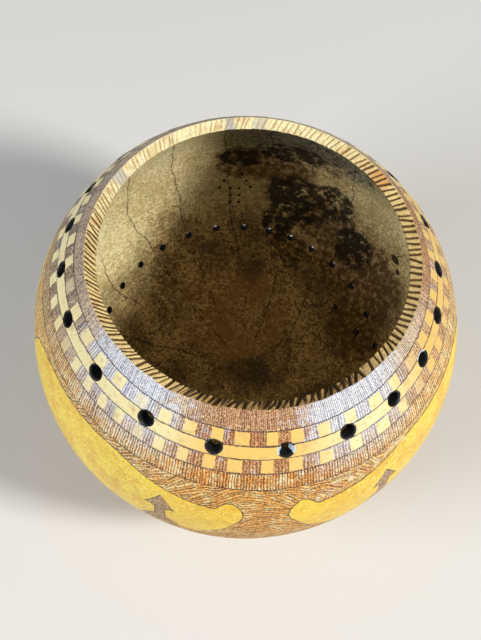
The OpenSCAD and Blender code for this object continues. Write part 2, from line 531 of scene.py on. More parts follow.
def rows_between(low, high, step, radius):
    """Latitudes from low to high, about step apart along a ball of that radius."""
    count = max(2, int(round((high - low) * DEG * radius / step)) + 1)
    return np.linspace(low, high, count)


# Materials
def srgb(r, g, b):
    """A colour from its 0 to 255 values on screen, as the linear values that shaders take."""
    return tuple(((v / 255 + 0.055) / 1.055) ** 2.4 if v > 10 else v / 255 / 12.92 for v in (r, g, b)) + (1.0,)


def new_material(name):
    """A material with its node tree and shader."""
    material = bpy.data.materials.new(name)
    material.use_nodes = True
    tree = material.node_tree
    shader = tree.nodes["Principled BSDF"]
    return material, tree, shader


def position(tree):
    """Azimuth and latitude in degrees, and the object's own coordinates."""
    coordinates = tree.nodes.new("ShaderNodeTexCoord").outputs["Object"]
    split = tree.nodes.new("ShaderNodeSeparateXYZ")
    tree.links.new(coordinates, split.inputs[0])
    x, y, z = (Flow(tree, split.outputs[i]) for i in range(3))
    up = z - BELLY_Z
    flat = work("SQRT", x * x + y * y)
    az = work("ARCTAN2", y, x) / DEG
    lat = work("ARCTAN2", up, flat) / DEG
    return az, lat, coordinates


def noise(coordinates, scale, detail=3.0, rough=0.55, stretch=None):
    """Noise from 0 to 1. scale is in lumps per metre, and stretch multiplies the coordinates first."""
    tree = coordinates.id_data
    if stretch:
        mapping = tree.nodes.new("ShaderNodeMapping")
        mapping.inputs["Scale"].default_value = stretch
        tree.links.new(coordinates, mapping.inputs["Vector"])
        coordinates = mapping.outputs["Vector"]
    node = tree.nodes.new("ShaderNodeTexNoise")
    node.inputs["Scale"].default_value = scale
    node.inputs["Detail"].default_value = detail
    node.inputs["Roughness"].default_value = rough
    tree.links.new(coordinates, node.inputs["Vector"])
    return Flow(tree, node.outputs["Fac"])


def combine(x, y, z):
    """Coordinates of its own for a texture."""
    node = tree_of(x, y).nodes.new("ShaderNodeCombineXYZ")
    for value, socket in zip((x, y, z), node.inputs):
        plug(value, socket)
    return node.outputs[0]


def mix(amount, first, second):
    """first where amount is 0, second where it is 1. Both are screen colours or outputs of other mixes."""
    tree = amount.tree
    node = tree.nodes.new("ShaderNodeMix")
    node.data_type = "RGBA"
    plug(amount, node.inputs[0])
    for value, socket in ((first, node.inputs[6]), (second, node.inputs[7])):
        if isinstance(value, tuple):
            socket.default_value = srgb(*value)
        else:
            tree.links.new(value, socket)
    return node.outputs[2]


def paint(colour, coats):
    """Lays coats over a colour, one after another. Each is how much of it there is, and its colour."""
    for amount, coat in coats:
        colour = mix(amount, colour, coat)
    return colour


def stored(tree, name):
    """A number that the mesh holds at each of its points."""
    node = tree.nodes.new("ShaderNodeAttribute")
    node.attribute_name = name
    return Flow(tree, node.outputs["Fac"])


def finish(shader, colour, roughness, gloss=0.25):
    """Plugs a material's colour and roughness into its shader."""
    shader.id_data.links.new(colour, shader.inputs["Base Color"])
    plug(roughness, shader.inputs["Roughness"])
    shader.inputs["Specular IOR Level"].default_value = gloss


def add_bump(shader, height, strength, distance):
    """Fine unevenness, distance metres deep, in the light on a surface."""
    tree = shader.id_data
    node = tree.nodes.new("ShaderNodeBump")
    node.inputs["Strength"].default_value = strength
    node.inputs["Distance"].default_value = distance
    plug(height, node.inputs["Height"])
    tree.links.new(node.outputs["Normal"], shader.inputs["Normal"])


def strokes(phase, share, soft):
    """Hand-cut strokes: phase counts them. Each has its own place, width and darkness."""
    number = work("FLOOR", phase)
    off = size_of(phase - number - 0.5 + 0.26 * chance(number + 2.0))
    half = share / 2 * (1 + 0.7 * chance(number + 9.0))
    return ramp(off - half, soft, -soft) * (1 - 0.35 * (0.5 + chance(number + 4.0)))


def patch_strokes(az, lat, count):
    """Straight strokes in patches, as the knife was turned: each patch has its own direction."""
    tree = az.tree
    wide, tall = 0.17, 0.26
    cells = tree.nodes.new("ShaderNodeTexVoronoi")
    cells.inputs["Scale"].default_value = 1.0
    tree.links.new(combine(az * wide, lat * tall, 0.0), cells.inputs["Vector"])
    split = tree.nodes.new("ShaderNodeSeparateColor")
    tree.links.new(cells.outputs["Color"], split.inputs[0])
    middle = tree.nodes.new("ShaderNodeSeparateXYZ")
    tree.links.new(cells.outputs["Position"], middle.inputs[0])
    turned, moved = Flow(tree, split.outputs[0]), Flow(tree, split.outputs[1])
    middle_az, middle_lat = Flow(tree, middle.outputs[0]) / wide, Flow(tree, middle.outputs[1]) / tall
    across, up = (az - middle_az) * 0.95, lat - middle_lat
    angle = 90 + 62 * ramp(sin(middle_az * 3.2 + 65 + middle_lat * 2), -0.3, 0.3) - 31 + (turned - 0.5) * 44
    bend = 0.035 * (across * across - up * up)
    count = count * (1 - 0.3 * ramp(middle_lat, 9, -3))
    return strokes((across * cos(angle) + up * sin(angle) + bend) * count + moved * 9, 0.54, 0.12)


def skin_material():
    """The hard skin: pale and yellow where it was left, hatched and burnt where it was cut, with painted sheen
    on the hatching at the left front and right front.
    """
    material, tree, shader = new_material("engraved_skin")
    az, lat, where = position(tree)
    patches = noise(where, 55, 4)
    blotches = noise(where, 150, 4)
    fine = noise(where, 420, 3)
    grit = noise(where, 1000, 3, 0.6)
    grain = noise(where, 1900, 2)
    sway = noise(where, 140, 2) - 0.5
    breaks = noise(combine(az * 1.5, lat * 0.6, 0.0), 2.2, 4, 0.7)
    found = ornament(az + (fine - 0.5) * 0.8, lat + (noise(where, 300, 2) - 0.5) * 0.45)
    level = found["level"]

    front = around(az, 276, 30, 10)
    left_back = around(az, 176, 42, 18)
    right_side = around(az, 4, 52, 22)
    right_back = around(az, 18, 45, 12)
    # Painted sheen: the hatching is painted pale and bluish at the left front and the right front, standing in
    # for a reflection on its gloss.
    painted_sheen = most(around(az, 234, 30, 5), around(az, 308, 28, 6))
    painted_sheen = ramp(painted_sheen + (blotches - 0.5) * 1.5 + (fine - 0.5) * 1.3, 0.12, 0.95)

    wander = sway * 0.9
    shaken = most(front, painted_sheen) * (fine - 0.5)
    rim_hatch = strokes(az * 560 / 360 + wander + level * 0.1 + shaken, 0.5, 0.16)
    check_hatch = strokes(az * 410 / 360 + wander, 0.52, 0.14)
    band_hatch = strokes(az * 470 / 360 + wander + level * 0.03, 0.48, 0.12)
    ground_hatch = patch_strokes(az, lat, 1.02)
    inset_hatch = strokes(lat * 1.7 + wander, 0.5, 0.2)
    tick_hatch = strokes(az * 1.55 - lat * 0.5, 0.42, 0.14)

    in_rim = ramp(level, LINE_TOP - 0.1, LINE_TOP + 0.1)
    in_check = box_mask(level, CHECK_FOOT, LINE_TOP)
    in_band = box_mask(level, HATCH_FOOT, CHECK_FOOT)
    in_field = ramp(level, HATCH_FOOT + 0.1, HATCH_FOOT - 0.1)
    in_ticks = box_mask(found["above"], 0.35, 2.0, 0.15) * around(az, 322, 32, 27)
    hatch = in_rim * rim_hatch + in_check * check_hatch + in_band * band_hatch
    hatch = hatch + in_field * (ground_hatch * (1 - in_ticks) + tick_hatch * in_ticks)
    hatch = hatch * (1 - found["inset"]) + found["inset"] * inset_hatch
    uncut = most(most(found["pale"], found["figure"]), found["below"])
    hatch = hatch * (1 - uncut)

    # Colour of the painted sheen.
    sheen_white = (240, 240, 243)
    rim_ground = paint((238, 218, 190), [
        (front, (204, 156, 114)),
        (left_back, (214, 188, 166)),
        (right_back, (200, 142, 94)),
        (painted_sheen, sheen_white)])
    check_ground = paint((234, 210, 180), [
        (front, (196, 134, 84)),
        (right_side * 0.8, (218, 168, 110)),
        (ramp(level, 31, 28) * 0.5, (224, 168, 110)),
        (left_back, (164, 142, 122)),
        (painted_sheen * (0.4 + 0.5 * ramp(level, 29, 33)), sheen_white),
        (ramp(blotches, 0.54, 0.7) * 0.6, (214, 210, 220))])
    burnt = around(az, 280, 38, 16)
    band_ground = paint((244, 190, 116), [
        (ramp(blotches, 0.4, 0.6), (255, 226, 166)),
        (burnt * ramp(blotches, 0.64, 0.44), (226, 150, 64)),
        (left_back, (200, 168, 122)),
        (painted_sheen * ramp(level, 21, 25) * 0.6, (236, 222, 206))])
    field_ground = paint((244, 186, 98), [
        (ramp(blotches, 0.38, 0.62), (255, 220, 144)),
        (burnt * ramp(blotches, 0.64, 0.44), (244, 172, 72))])
    ground = paint(field_ground, [
        (in_rim, rim_ground),
        (in_check, check_ground),
        (in_band, band_ground),
        (found["inset"], (206, 166, 124))])

    dark = paint((118, 72, 32), [
        (ramp(fine, 0.4, 0.6), (62, 40, 26)),
        (burnt * 0.7, (54, 30, 16))])
    dark_cool = paint((98, 68, 58), [
        (front, (98, 48, 30)),
        # Bluish strokes where the painted sheen lies.
        (painted_sheen, (118, 122, 144)),
        (left_back, (48, 38, 40))])
    dark = mix(ramp(level, 26.5, 30), dark, dark_cool)
    ground = mix(hatch * (0.45 + 0.55 * ramp(breaks, 0.36, 0.56)), ground, dark)
    ends = in_band * (1 - box_mask(level, HATCH_FOOT + 0.9, CHECK_FOOT - 0.9, 0.5)) * band_hatch
    ground = paint(ground, [
        (ends * ramp(breaks, 0.4, 0.55), (52, 36, 36)),
        (ramp(grit, 0.53, 0.62) * 0.65, dark),
        (ramp(grit, 0.45, 0.35) * 0.7, mix(painted_sheen, (255, 228, 170), sheen_white))])

    pale = paint((240, 228, 174), [
        (front * 0.9, (234, 190, 98)),
        (right_side, (226, 188, 104)),
        (ramp(patches, 0.45, 0.8) * 0.45, (232, 200, 128)),
        (ramp(fine, 0.54, 0.7) * 0.5, (206, 168, 100)),
        (ramp(blotches, 0.56, 0.7) * 0.45, (196, 164, 110))])
    yellow = paint((244, 212, 78), [
        (ramp(patches, 0.38, 0.66), (230, 184, 60)),
        (burnt * 0.5, (242, 198, 44)),
        (ramp(fine, 0.48, 0.66) * 0.7, (250, 230, 116)),
        (ramp(blotches, 0.5, 0.66) * 0.3, (202, 152, 50)),
        (ramp(grit, 0.52, 0.64) * 0.55, (176, 128, 40))])
    plain = paint((232, 186, 92), [
        (ramp(patches, 0.35, 0.75), (212, 162, 76)),
        (ramp(lat, -40, -80) * 0.5, (168, 124, 66)),
        (ramp(fine, 0.55, 0.8) * 0.4, (240, 200, 116))])

    colour = paint(ground, [
        (found["pale"], pale),
        (found["figure"], yellow),
        (found["below"], plain),
        (found["lines"] * (0.3 + 0.7 * ramp(breaks, 0.32, 0.54)), (58, 48, 54))])
    smudge = ramp(size_of(az - 222 + (lat - 5) * 1.14 + sway * 2), 0.9, 0.2)
    smudge = box_mask((lat - 5) / 7, 0, 1, 0.2) * smudge
    colour = paint(colour, [
        (smudge * 0.7, (128, 98, 52)),
        (chips(az, lat, sway), (250, 230, 184)),
        (ramp(grain, 0.6, 0.8) * 0.15, (96, 70, 44))])
    finish(shader, colour, 0.4 + 0.22 * hatch + 0.14 * (fine - 0.5) + 0.06 * (1 - uncut), gloss=0.3)
    height = fine * 0.25 + grit * 0.35 * (1 - uncut) + grain * 0.1 + patches * 0.4
    height = height - hatch - found["lines"] * 0.6
    add_bump(shader, height, 0.75, 0.4 * MM)
    return material


def chips(az, lat, sway):
    """Two spots where the skin has flaked off to pale wood."""
    across, up = near(az, 303), lat - 15
    spot = ramp(work("SQRT", across * across + up * up) + sway * 2, 1.0, 0.6)
    flake = box_mask(lat + sway * 3, 15.9, 17.4, 0.3) * around(az, 317.5, 4.8, 3.2)
    return most(spot, flake * 0.5) * 0.85


# Latitude and azimuth along each crack of the inside, set after the photograph
CRACKS = [
    [(-38, 96), (-31, 98), (-24, 100), (-15, 100), (-4, 102), (4, 102), (26, 104), (42, 105)],
    [(-59, 107), (-49, 111), (-37, 114), (-24, 117), (-13, 117), (0, 119), (21, 120), (42, 121)],
    [(-68, 106), (-62, 114), (-54, 121), (-47, 124), (-36, 129), (-25, 131), (-14, 135), (4, 135), (20, 134)],
    [(-43, 145), (-31, 151), (-20, 150)],
    [(15, 88), (24, 89), (42, 88)],
    [(2, 75), (19, 74), (42, 72)],
    [(-8, 60), (11, 61), (30, 59)],
    [(-46, 54), (-34, 49), (-22, 45), (-8, 38)],
    [(-66, 82), (-59, 79), (-44, 79)],
    [(-63, 58), (-57, 60), (-42, 64)],
    [(-68, 135), (-56, 153), (-39, 165)],
    [(-34, 212), (-8, 220), (20, 217), (42, 221)],
    [(-52, 262), (-20, 268), (14, 262), (42, 265)],
    [(-38, 318), (0, 312), (30, 316)],
]


# Blots of the inside: azimuth, latitude, and half their width and height, all in degrees
BROWN = [(96, 2, 9, 9), (84, -1, 10, 7), (46, -27, 19, 14), (34, -42, 14, 10), (66, -18, 12, 9)]
BLACK = [(82, 10, 12, 6), (97, 4, 7, 5), (77, -12, 12, 10), (66, -8, 8, 7), (54, -21, 8, 8), (83, -24, 6, 6)]
SPOTS = [(39, -11, 1.9, 1.5), (36, -14, 1.0, 0.9), (33, -42, 1.7, 1.1), (48, -42, 1.4, 0.9)]


def crack_lines(az, lat, sway):
    """Hairline cracks that run down from the rim."""
    found = 0.0
    for points in CRACKS:
        foot, top = points[0][0], points[-1][0]
        path = rounded(points)
        middle = line_through(path, lat)
        off = near(az - middle + sway * 3, 0) * cos(lat) / reach(path, lat)
        found = most(found, ramp(off, 0.24, 0.08) * box_mask(lat, foot, top + 3, 2))
    return found


def stain(az, lat, edge, middle_az, middle_lat, wide, tall):
    """A blot with a ragged edge, in degrees."""
    across = near(az, middle_az) / wide
    up = (lat - middle_lat) / tall
    return ramp(work("SQRT", across * across + up * up) + edge * 0.55, 1.12, 0.88)


def stains(az, lat, edge, places):
    """Several blots in one mask."""
    found = 0.0
    for place in places:
        found = most(found, stain(az, lat, edge, *place))
    return found


def inside_material():
    """The scraped inner wall: khaki and fibrous, cracked, stained brown and black at the back right. Light and
    shade are painted into its colour: lit to the left, shaded elsewhere and further down, with a painted lit
    patch at the right and painted shade on the floor at the front.
    """
    material, tree, shader = new_material("scraped_inside")
    az, lat, where = position(tree)
    patches = noise(where, 38, 4)
    mottle = noise(where, 260, 6, 0.7)
    specks = noise(where, 620, 4, 0.65)
    felt = noise(where, 1100, 4, 0.65, stretch=(1.0, 1.0, 0.4))
    fibre = noise(combine(az * 1.2 + lat * 0.8, lat * 0.2 - az * 0.12, 0.0), 2.6, 5, 0.72)
    cross = noise(combine(az * 1.2 - lat * 0.9, lat * 0.2 + az * 0.12, 0.0), 2.3, 5, 0.72)
    sway = noise(where, 90, 4) - 0.5
    mould = noise(where, 170, 6, 0.72)
    edge = (noise(where, 120, 6, 0.75) - 0.5) * 2
    scraped = noise(combine(az * 0.3 + lat * 0.1, lat * 1.5 - az * 0.35, 0.0), 1.0, 4, 0.6)
    tone = mottle * 0.3 + specks * 0.35 + felt * 0.3 + fibre * 0.3 + cross * 0.3
    tone = tone + patches * 0.25 + scraped * 0.2

    # Painted light and shade: the first colour is the lit wall, the second the wall in shade. The shade mask
    # paints shade away from the lit left side, the lit patch keeps the right side near the rim lit, and deep
    # darkens further down, mostly as painted shade and partly as a browner floor.
    lit = mix(ramp(tone, 0.88, 1.09), (252, 242, 196), (204, 182, 124))
    low = mix(ramp(tone, 0.9, 1.07), (244, 208, 138), (108, 80, 36))
    painted_light_patch = 0.6 * around(az, 42, 26, 14) * ramp(lat + 5 * edge, -12, 0)
    shade = around(az, 165, 48, 92) * (1 - painted_light_patch)
    deep = ramp(lat + 6 * edge + 15 * around(az, 150, 26, 10), 0, -36)
    colour = paint(lit, [
        (most(shade * 0.6, deep), low),
        (ramp(specks, 0.56, 0.66) * (0.35 + 0.25 * deep), (112, 86, 46))])
    scratches = most(ramp(size_of(cross - 0.5), 0.014, 0.004), ramp(size_of(fibre - 0.52), 0.012, 0.004))
    colour = paint(colour, [
        (scratches * (0.2 + 0.45 * deep), (66, 48, 24)),
        (ramp(patches, 0.48, 0.66) * deep * 0.5, (112, 98, 70))])
    ruddy = stain(az, lat, edge, 98, -58, 34, 16) * ramp(patches, 0.4, 0.6)
    colour = mix(ruddy * 0.35, colour, (222, 158, 88))
    grey = ramp(near(az, 76) + 10 * edge, 40, 16) * ramp(lat + 7 * edge, 3, 16)
    colour = paint(colour, [
        (grey * 0.85, (114, 112, 98)),
        (grey * ramp(specks, 0.46, 0.6) * 0.7, (52, 47, 38))])

    brown = stains(az, lat, edge, BROWN) * (0.45 + 0.55 * ramp(mottle, 0.38, 0.56))
    colour = mix(brown * 0.9, colour, (88, 60, 26))
    black = stains(az, lat, edge, BLACK) * ramp(mould, 0.4, 0.5)
    black = most(black, stain(az, lat, edge, 72, 20, 22, 15) * ramp(mould, 0.5, 0.58) * 0.75)
    black = most(black, stain(az, lat, edge, 76, -33, 9, 6) * ramp(mould, 0.42, 0.56) * 0.8)
    sooty = most(stain(az, lat, edge * 2, 76, -76, 34, 4), stain(az, lat, edge * 2, 92, -36, 8, 12) * 0.8)
    black = most(black, most(sooty, stain(az, lat, edge * 2, 169, -66, 16, 5)) * 0.45)
    colour = paint(colour, [
        (most(black, stains(az, lat, edge, SPOTS)) * 0.93, (30, 23, 15)),
        # Painted shade: the floor at the front, under the front rim, is darkened, which also darkens what
        # shows through the front holes.
        (around(az, 275, 80, 50) * ramp(lat, -66, -56) * 0.85, (52, 38, 22))])
    cracks = crack_lines(az, lat, sway) * (0.4 + 0.6 * ramp(mottle, 0.35, 0.6))
    colour = mix(cracks * 0.85, colour, (66, 48, 22))
    finish(shader, colour, 0.78 + 0.2 * (mottle - 0.5))
    add_bump(shader, tone * 1.6 - cracks * 1.2 + patches * 0.6, 0.85, 0.5 * MM)
    return material


def cut_material():
    """The sawn and notched edge: cream cuts, darkened in the notches partly by dirt and partly by painted
    shade.
    """
    material, tree, shader = new_material("cut_edge")
    az, lat, where = position(tree)
    notch = stored(tree, "notch")
    patches = noise(where, 110, 4)
    fine = noise(where, 700, 3)
    long_grain = noise(combine(az * 1.4, lat * 0.5, 0.0), 3.0, 4)
    front = around(az, 284, 44, 22)
    back = around(az, 114, 72, 40)

    cream = paint((238, 212, 148), [
        (front, (196, 158, 98)),
        (around(az, 352, 50, 20) * 0.6, (208, 176, 116)),
        (back, (248, 238, 190)),
        (ramp(patches, 0.45, 0.7) * 0.5, (210, 164, 98)),
        (ramp(long_grain, 0.46, 0.64) * 0.5, (160, 120, 66))])
    smudge = ramp(near(az, 104.5) + (patches - 0.5) * 6, 2.4, 0.8)
    smudge = most(smudge, ramp(near(az, 93) + (patches - 0.5) * 6, 3.0, 1.0) * 0.7)
    smudge = most(smudge, ramp(near(az, 153) + (patches - 0.5) * 8, 4.0, 1.5) * 0.8)
    cream = mix(smudge * 0.7, cream, (156, 158, 170))
    tint = ramp(near(az, 42) + (patches - 0.5) * 6, 5, 3)
    cream = mix(tint * 0.7, cream, (214, 150, 84))
    # Notch floors darkened, partly as dirt and partly as painted shade, darkest at the front.
    dirt_and_shade = ramp(notch + 0.25 * (fine - 0.5) + 0.2 * (patches - 0.5), 0.18, 0.5)
    depth_tone = paint((84, 56, 24), [
        (front, (50, 34, 16)),
        (back, (176, 146, 92))])
    colour = paint(cream, [
        (dirt_and_shade * 0.95, depth_tone),
        (ramp(fine, 0.58, 0.76) * 0.3, (150, 116, 66))])
    finish(shader, colour, 0.66 + 0.15 * (fine - 0.5))
    add_bump(shader, fine * 0.4 + long_grain * 0.7 + patches * 0.3, 0.6, 0.35 * MM)
    return material


def char_material():
    """Burnt wood: near black, a little glossy, greyer on its lip, partly from wear and partly as painted
    sheen, with painted pale highlights on two holes.
    """
    material, tree, shader = new_material("char")
    _, _, where = position(tree)
    lumps_of_char = noise(where, 600, 4, 0.6)
    patches = noise(where, 220, 3)
    lip, painted_glint = stored(tree, "lip"), stored(tree, "painted_glint")
    # The lip is painted greyer, partly as wear and partly as painted sheen on the char.
    colour = paint((12, 13, 13), [
        (ramp(lumps_of_char, 0.4, 0.7), (28, 26, 25)),
        (lip * (0.15 + 0.7 * ramp(patches, 0.45, 0.65)), (86, 88, 96))])
    # Painted highlight: a pale bluish-white crescent on the lips of two holes, which are made glossier there
    # too.
    shine = ramp(painted_glint + 0.5 * (patches - 0.5), 0.4, 0.6)
    colour = mix(shine, colour, (206, 220, 230))
    finish(shader, colour, 0.6 + 0.3 * lumps_of_char - 0.4 * shine, gloss=0.2)
    add_bump(shader, lumps_of_char, 0.6, 0.3 * MM)
    return material


def pin_material():
    """The walls of the pinholes: raw wood, browned by the hot pin."""
    material, tree, shader = new_material("pinhole")
    _, _, where = position(tree)
    speckle = noise(where, 900, 3)
    colour = mix(speckle, (52, 34, 18), (22, 15, 9))
    finish(shader, colour, 0.6 + 0.2 * (speckle - 0.5), gloss=0.5)
    add_bump(shader, speckle, 0.4, 0.2 * MM)
    return material


SKIN, INSIDE, CUT = skin_material(), inside_material(), cut_material()
BURNT, PIN = char_material(), pin_material()


# Pieces
def skin_depth(a, l):
    """How far the skin lies below the ball: its engraving and some hand-made unevenness."""
    return relief(a, l) + 0.12 * MM * lumps(a, l, 14, 3)


def wall_depth(a, l):
    """How far the scraped inside bulges towards the middle."""
    return 0.45 * MM * lumps(a, l, 11, 5) + 0.2 * MM * lumps(a, l, 4, 6)


def build_skin():
    """The outer skin, in the zones that the CAD rind has."""
    zones = [("skin_shoulder", SHOULDER_Z, JOINT_Z, 0.8, "rind_shoulder", upper_holes),
             ("skin_belly", FLANK_Z, SHOULDER_Z, 0.95, "rind_belly", pinholes),
             ("skin_flank", FOOT_Z, FLANK_Z, 1.15, "rind_flank", lower_holes)]
    for name, low, high, step, node, holes in zones:
        lats = rows_between(lat_at(low, BALL_R), lat_at(high, BALL_R), step * MM, BALL_R)
        shell(name, lats, skin_depth, BALL_R, holes, SKIN, node, "rind")
    base_lat = -math.degrees(math.acos(math.sqrt(BALL_R ** 2 - BELLY_Z ** 2) / BALL_R))
    lats = rows_between(base_lat, lat_at(FOOT_Z, BALL_R), 1.5 * MM, BALL_R)
    shell("skin_foot", lats, skin_depth, BALL_R, [], SKIN, "rind_foot", "rind", cap_z=0.0)


def build_inside():
    """The scraped inner side, in the zones that the CAD wall has."""
    zones = [("inside_shoulder", SHOULDER_Z, JOINT_Z, 1.0, "wall_shoulder", upper_holes),
             ("inside_belly", FLANK_Z, SHOULDER_Z, 0.95, "wall_belly", pinholes),
             ("inside_flank", FOOT_Z, FLANK_Z, 1.15, "wall_flank", lower_holes)]
    for name, low, high, step, node, holes in zones:
        lats = rows_between(lat_at(low, INSIDE_R), lat_at(high, INSIDE_R), step * MM, INSIDE_R)
        shell(name, lats, wall_depth, INSIDE_R, holes, INSIDE, node, "inner_wood", inward=True)
    lats = rows_between(lat_at(FLOOR_Z, INSIDE_R), lat_at(FOOT_Z, INSIDE_R), 1.2 * MM, INSIDE_R)
    shell("inside_floor", lats, wall_depth, INSIDE_R, [], INSIDE, "wall_floor", "inner_wood",
          inward=True, cap_z=FLOOR_Z)


def cut_row(a, s, face, seed, shift, stray):
    """One row of knife cuts: how near the nearest cut is (1 on its line, 0 midway), and its strength."""
    thrown = np.random.default_rng(seed)
    even = (np.arange(NOTCHES) + shift) * 360 / NOTCHES
    at = even - NOTCH_CROWDING / DEG * np.sin((even - CROWDED_AT) * DEG) + thrown.normal(0, stray, NOTCHES)
    at = np.sort(at % 360)
    at = np.concatenate([[at[-1] - 360], at, [at[0] + 360]])
    deep, tilt, peak = (np.concatenate([v[-1:], v, v[:1]]) for v in (
        np.clip(thrown.normal(0.92, 0.2, NOTCHES), 0.35, 1.15), thrown.normal(0, 1, NOTCHES),
        thrown.uniform(0, 1, NOTCHES)))
    slant = NOTCH_SLANT + SLANTS_MORE * bump_at(a, MORE_AT, 90) - SLANTS_LESS * bump_at(a, LESS_AT, 70)
    r_here = RIM_R - s * math.cos(RIM_SLOPE)
    moved = (a - s * np.tan(slant * DEG) / r_here / DEG) % 360
    right = np.clip(np.searchsorted(at, moved), 1, len(at) - 1)
    k = np.where(np.abs(at[right - 1] - moved) < np.abs(at[right] - moved), right - 1, right)
    gap = np.maximum(at[right] - at[right - 1], 0.4)
    lean = tilt[k] * (5 + 11 * bump_at(a, 310, 160)) * DEG * (s - face / 2) / r_here / DEG
    off = np.abs(moved + lean - at[k]) / (gap / 2)
    return np.clip(1 - off, 0, 1), deep[k], peak[right]


def notch_field(a, s, face):
    """Depth in metres of the notches at azimuth a and distance s inwards, and how much they are darkened
    there, partly as dirt and partly as painted shade.
    """
    front = ramp(near(a, 284), 44, 22)
    back = ramp(near(a, 114), 72, 40)
    run = s / face
    near_cut, deep, peak = cut_row(a, s, face, 11, 0.0, 0.3)
    near_cut = np.clip(near_cut + 0.12 * (lumps(a, s / MM * 3, 1.0, 31) - 0.5), 0, 1)
    near_extra, deep_extra, _ = cut_row(a, s, face, 12, 0.5, 0.45)
    blunt = 1.9 - 1.3 * front
    cut = deep * near_cut ** blunt
    extra = (0.75 * front + 0.2) * (deep_extra - 0.35) * near_extra ** 1.6
    worn = peak * (1 - near_cut) * (0.1 + 0.45 * front * run)
    full = NOTCH_DEPTH * (0.95 + 0.25 * front) * (1 - 0.78 * back)
    grow = (0.75 - 0.35 * front) + (0.25 + 0.4 * front) * run
    share = np.maximum(cut, extra)
    return full * (grow * share + worn), share * (1 - 0.45 * back) * (1 - front * (1 - run) * 0.5)


def build_rim():
    """The sawn edge: a strip of skin, the corner, the notched face and the inner side."""
    count = AZ_COUNT * 3
    az = np.arange(count) * 360 / count
    rim_lat = lat_at(RIM_Z, BALL_R)
    face = WALL / math.sin(math.pi / 2 - rim_lat * DEG + RIM_SLOPE)
    outer_lats = np.linspace(lat_at(JOINT_Z, BALL_R), rim_lat - 0.1, 12)
    rows, kinds, notch = [], [], []
    dip = 0.5 * MM * lumps(az, 0 * az, 9, 21) + 0.25 * MM * lumps(az, 0 * az, 3, 22)
    dip = dip + 1.2 * MM * bump_at(az, 247, 12) + 0.8 * MM * bump_at(az, 263, 9)
    for n, lat in enumerate(outer_lats):
        fade = (n / (len(outer_lats) - 1)) ** 2
        radius = BALL_R - skin_depth(az, np.full(count, lat))
        rows.append(on_ball(az, lat - fade * dip / BALL_R / DEG, radius))
        kinds.append(0)
        notch.append(np.zeros(count))
    turn = np.stack([np.cos(az * DEG), np.sin(az * DEG)], -1)
    rough = 0.35 * MM * lumps(az, 0 * az, 1.6, 24)
    for s in np.concatenate([[0.12 * MM, 0.3 * MM], np.linspace(0.6 * MM, face, 14)]):
        depth, share = notch_field(az, np.full(count, s), face)
        fall = dip * (1 - 0.7 * s / face) + 0.3 * MM * lumps(az, 0 * az + s / MM, 2, 23) + rough * s / face
        r = RIM_R - s * math.cos(RIM_SLOPE)
        z = RIM_Z - s * math.sin(RIM_SLOPE) - depth * math.cos(RIM_SLOPE) - fall
        rows.append(np.concatenate([turn * r, z[:, None]], 1))
        kinds.append(1)
        notch.append(share)
    foot_lat = lat_at(JOINT_Z, INSIDE_R)
    joint = on_ball(az, foot_lat, INSIDE_R - wall_depth(az, np.full(count, foot_lat)))
    last, last_share = rows[-1], notch[-1]
    for t in np.linspace(0, 1, 9)[1:]:
        p = last * (1 - t) + joint * t
        p[:, :2] *= (1 + 0.012 * t * (1 - t))
        rows.append(p)
        kinds.append(2 if t > 0.2 else 1)
        notch.append(last_share * (1 - t))
    faces = grid_faces(len(rows), count)
    kinds = np.repeat(np.array(kinds[1:]), count)
    piece = add_piece("rim", np.concatenate(rows), faces, [SKIN, CUT, INSIDE],
                      "notched_rim", "cut_edge", kinds)
    add_values(piece, "notch", notch)


def add_values(piece, name, values):
    """Stores one number per point of a mesh, for its material to read."""
    layer = piece.data.attributes.new(name, "FLOAT", "POINT")
    layer.data.foreach_set("value", np.concatenate(values).astype(np.float32))


def tube(az, lat, profile, sides, wobble, seed):
    """A tube round a hole. profile lists radius, distance from the ball's middle, and share of lip, where the
    char is painted greyer, partly as wear and partly as painted sheen.
    """
    axis = direction(az, lat)
    east = np.array([-math.sin(az * DEG), math.cos(az * DEG), 0])
    north = np.cross(axis, east)
    t = np.arange(sides) * 2 * math.pi / sides
    thrown = np.random.default_rng(seed)
    shake = sum(thrown.normal(0, 1) * np.sin(k * t + thrown.uniform(0, 6.3)) / k for k in (1, 2, 3, 5, 7))
    points, lips = [], []
    for radius, out, lip in profile:
        r = radius + wobble * shake * (0.3 + 0.7 * lip)
        height = np.sqrt(np.maximum(out ** 2 - r ** 2, 0))
        ring = np.cos(t)[:, None] * east * r[:, None] + np.sin(t)[:, None] * north * r[:, None]
        points.append(ring + axis * height[:, None] + [0, 0, BELLY_Z])
        lips.append(np.full(sides, lip))
    return np.concatenate(points), np.concatenate(lips), grid_faces(len(profile), sides)


def joined(parts):
    """Several meshes as one: all their points, and their faces numbered on."""
    starts = np.cumsum([0] + [len(points) for points, _ in parts])
    faces = np.concatenate([faces + start for (_, faces), start in zip(parts, starts)])
    return np.concatenate([points for points, _ in parts]), faces


